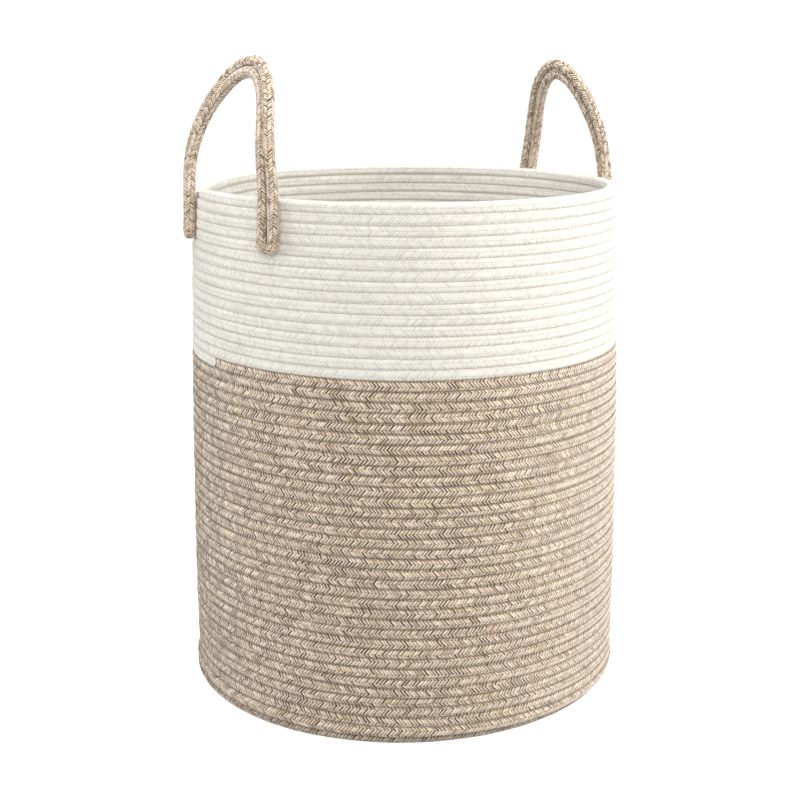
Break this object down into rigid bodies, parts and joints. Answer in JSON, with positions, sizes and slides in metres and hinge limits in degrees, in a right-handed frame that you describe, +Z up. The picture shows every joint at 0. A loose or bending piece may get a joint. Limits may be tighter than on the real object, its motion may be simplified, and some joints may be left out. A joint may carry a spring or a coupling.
{
  "type": "laundry basket",
  "caption": "Tall round laundry basket of coiled, stitched cotton rope: pale band above a heathered tan body, rope loop handles that fold at the rim.",
  "frame": {"origin": "centre of the underside, where the coiled base rests on the floor", "axes": "+Z up; +X through the middle of the right handle and -X through the left handle; -Y is the front"},
  "size_m": [0.4414, 0.4414, 0.6301],
  "materials": {
    "pale_rope": "matt off-white braided cotton rope with a zigzag seam",
    "tan_rope": "matt braided cotton rope in mixed tan, brown and cream yarns",
    "tan_thread": "tan sewing thread"
  },
  "bodies": {
    "basket": {"base_coil": "tan_rope", "tan_wall": "tan_rope", "pale_wall": "pale_rope", "rim_course": "pale_rope", "left_handle_front_sewn_end": "tan_rope", "left_handle_rear_sewn_end": "tan_rope", "left_handle_front_tack": "tan_thread", "left_handle_rear_tack": "tan_thread", "right_handle_front_sewn_end": "tan_rope", "right_handle_rear_sewn_end": "tan_rope", "right_handle_front_tack": "tan_thread", "right_handle_rear_tack": "tan_thread"},
    "left_handle": {"left_handle_outer_rope": "tan_rope", "left_handle_inner_rope": "tan_rope"},
    "right_handle": {"right_handle_outer_rope": "tan_rope", "right_handle_inner_rope": "tan_rope"}
  },
  "joints": [
    {"name": "left_handle_fold", "type": "hinge", "parent": "basket", "child": "left_handle", "pos_m": [-0.20915, 0, 0.52], "axis": [0, 1, 0], "range_deg": [-165, 80]},
    {"name": "right_handle_fold", "type": "hinge", "parent": "basket", "child": "right_handle", "pos_m": [0.21189, 0, 0.52], "axis": [0, -1, 0], "range_deg": [-165, 80]}
  ]
}
